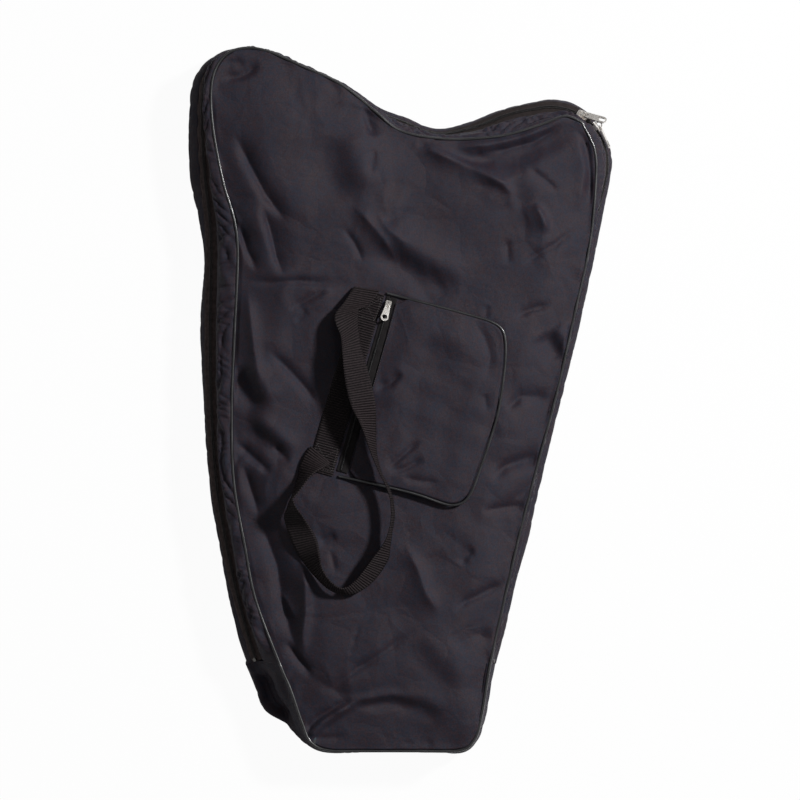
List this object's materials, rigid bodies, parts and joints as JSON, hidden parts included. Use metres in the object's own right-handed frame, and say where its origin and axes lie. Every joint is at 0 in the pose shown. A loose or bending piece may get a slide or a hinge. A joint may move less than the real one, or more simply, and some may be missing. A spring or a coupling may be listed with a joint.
{
  "type": "harp cover",
  "caption": "Padded zip-up cover for a small harp: shaped soft case with lifting front panel, zipped gusset, piped edges, zipped front pocket and webbing carry handle.",
  "frame": {"origin": "on the surface that the back lies on, under the middle of the cover's bounding box", "axes": "+Y towards the cover's top, +X to the right as seen from the front, +Z out of the front panel"},
  "size_m": [0.6192, 1.0326, 0.1486],
  "materials": {
    "black_nylon": "woven, slightly shiny",
    "foam": "matt closed-cell padding",
    "lining": "smooth woven",
    "vinyl_piping": "soft gloss",
    "zip_tape": "matt woven tape",
    "zip_coil": "satin",
    "webbing": "ribbed webbing",
    "nickel": "nickel plated"
  },
  "bodies": {
    "back_shell": {"back_panel_cover": "black_nylon", "back_panel_foam": "foam", "back_panel_lining": "lining", "back_gusset_cover": "black_nylon", "back_gusset_foam": "foam", "back_gusset_lining": "lining", "foot_gusset_cover": "black_nylon", "foot_gusset_foam": "foam", "foot_gusset_lining": "lining", "back_piping": "vinyl_piping", "back_zip_tape": "zip_tape", "back_zip_coil": "zip_coil", "left_zip_stop": "nickel", "right_zip_stop": "nickel"},
    "lid": {"front_panel_cover": "black_nylon", "front_panel_foam": "foam", "front_panel_lining": "lining", "front_gusset_cover": "black_nylon", "front_gusset_foam": "foam", "front_gusset_lining": "lining", "front_piping": "vinyl_piping", "front_zip_tape": "zip_tape", "front_zip_coil": "zip_coil", "pocket_panel": "black_nylon", "pocket_piping": "vinyl_piping", "pocket_inner_tape": "zip_tape", "pocket_outer_tape": "zip_tape", "pocket_zip_chain": "zip_coil", "webbing_band": "webbing", "handle_upper_strand": "webbing", "handle_lower_strand": "webbing"},
    "left_slider": {"left_slider": "nickel"},
    "left_pull": {"left_pull": "nickel"},
    "right_slider": {"right_slider": "nickel"},
    "right_pull": {"right_pull": "nickel"},
    "pocket_slider": {"pocket_slider": "nickel"},
    "pocket_pull": {"pocket_pull": "nickel"},
    "handle_loop": {"handle_loop": "webbing"}
  },
  "joints": [
    {"name": "lid_turn", "type": "hinge", "parent": "back_shell", "child": "lid", "pos_m": [-0.00574, -0.51047, 0.084], "axis": [1, 0, 0], "range_deg": [0, 160]},
    {"name": "left_slider_run", "type": "hinge", "parent": "lid", "child": "left_slider", "pos_m": [0.22072, 0.34796, 0.05], "axis": [0, 0, 1], "range_deg": [0, 38]},
    {"name": "right_slider_run", "type": "hinge", "parent": "lid", "child": "right_slider", "pos_m": [0.22072, 0.34796, 0.05], "axis": [0, 0, -1], "range_deg": [0, 44]},
    {"name": "left_pull_swing", "type": "hinge", "parent": "left_slider", "child": "left_pull", "pos_m": [0.27025, 0.42074, 0.05688], "axis": [-0.4461, -0.687, 0.5736], "range_deg": [0, 108]},
    {"name": "right_pull_swing", "type": "hinge", "parent": "right_slider", "child": "right_pull", "pos_m": [0.29288, 0.40395, 0.05217], "axis": [-0.2011, -0.1629, 0.9659], "range_deg": [0, 110]},
    {"name": "pocket_slider_run", "type": "slide", "parent": "lid", "child": "pocket_slider", "axis": [-0.2756, -0.9613, 0], "range_m": [0, 0.24]},
    {"name": "pocket_pull_swing", "type": "hinge", "parent": "pocket_slider", "child": "pocket_pull", "pos_m": [-0.01741, 0.13963, 0.10893], "axis": [-0.9613, 0.2756, 0], "range_deg": [0, 120]},
    {"name": "handle_lift", "type": "hinge", "parent": "lid", "child": "handle_loop", "pos_m": [-0.08437, -0.14287, 0.1473], "axis": [-1, 0, 0], "range_deg": [0, 110]}
  ]
}
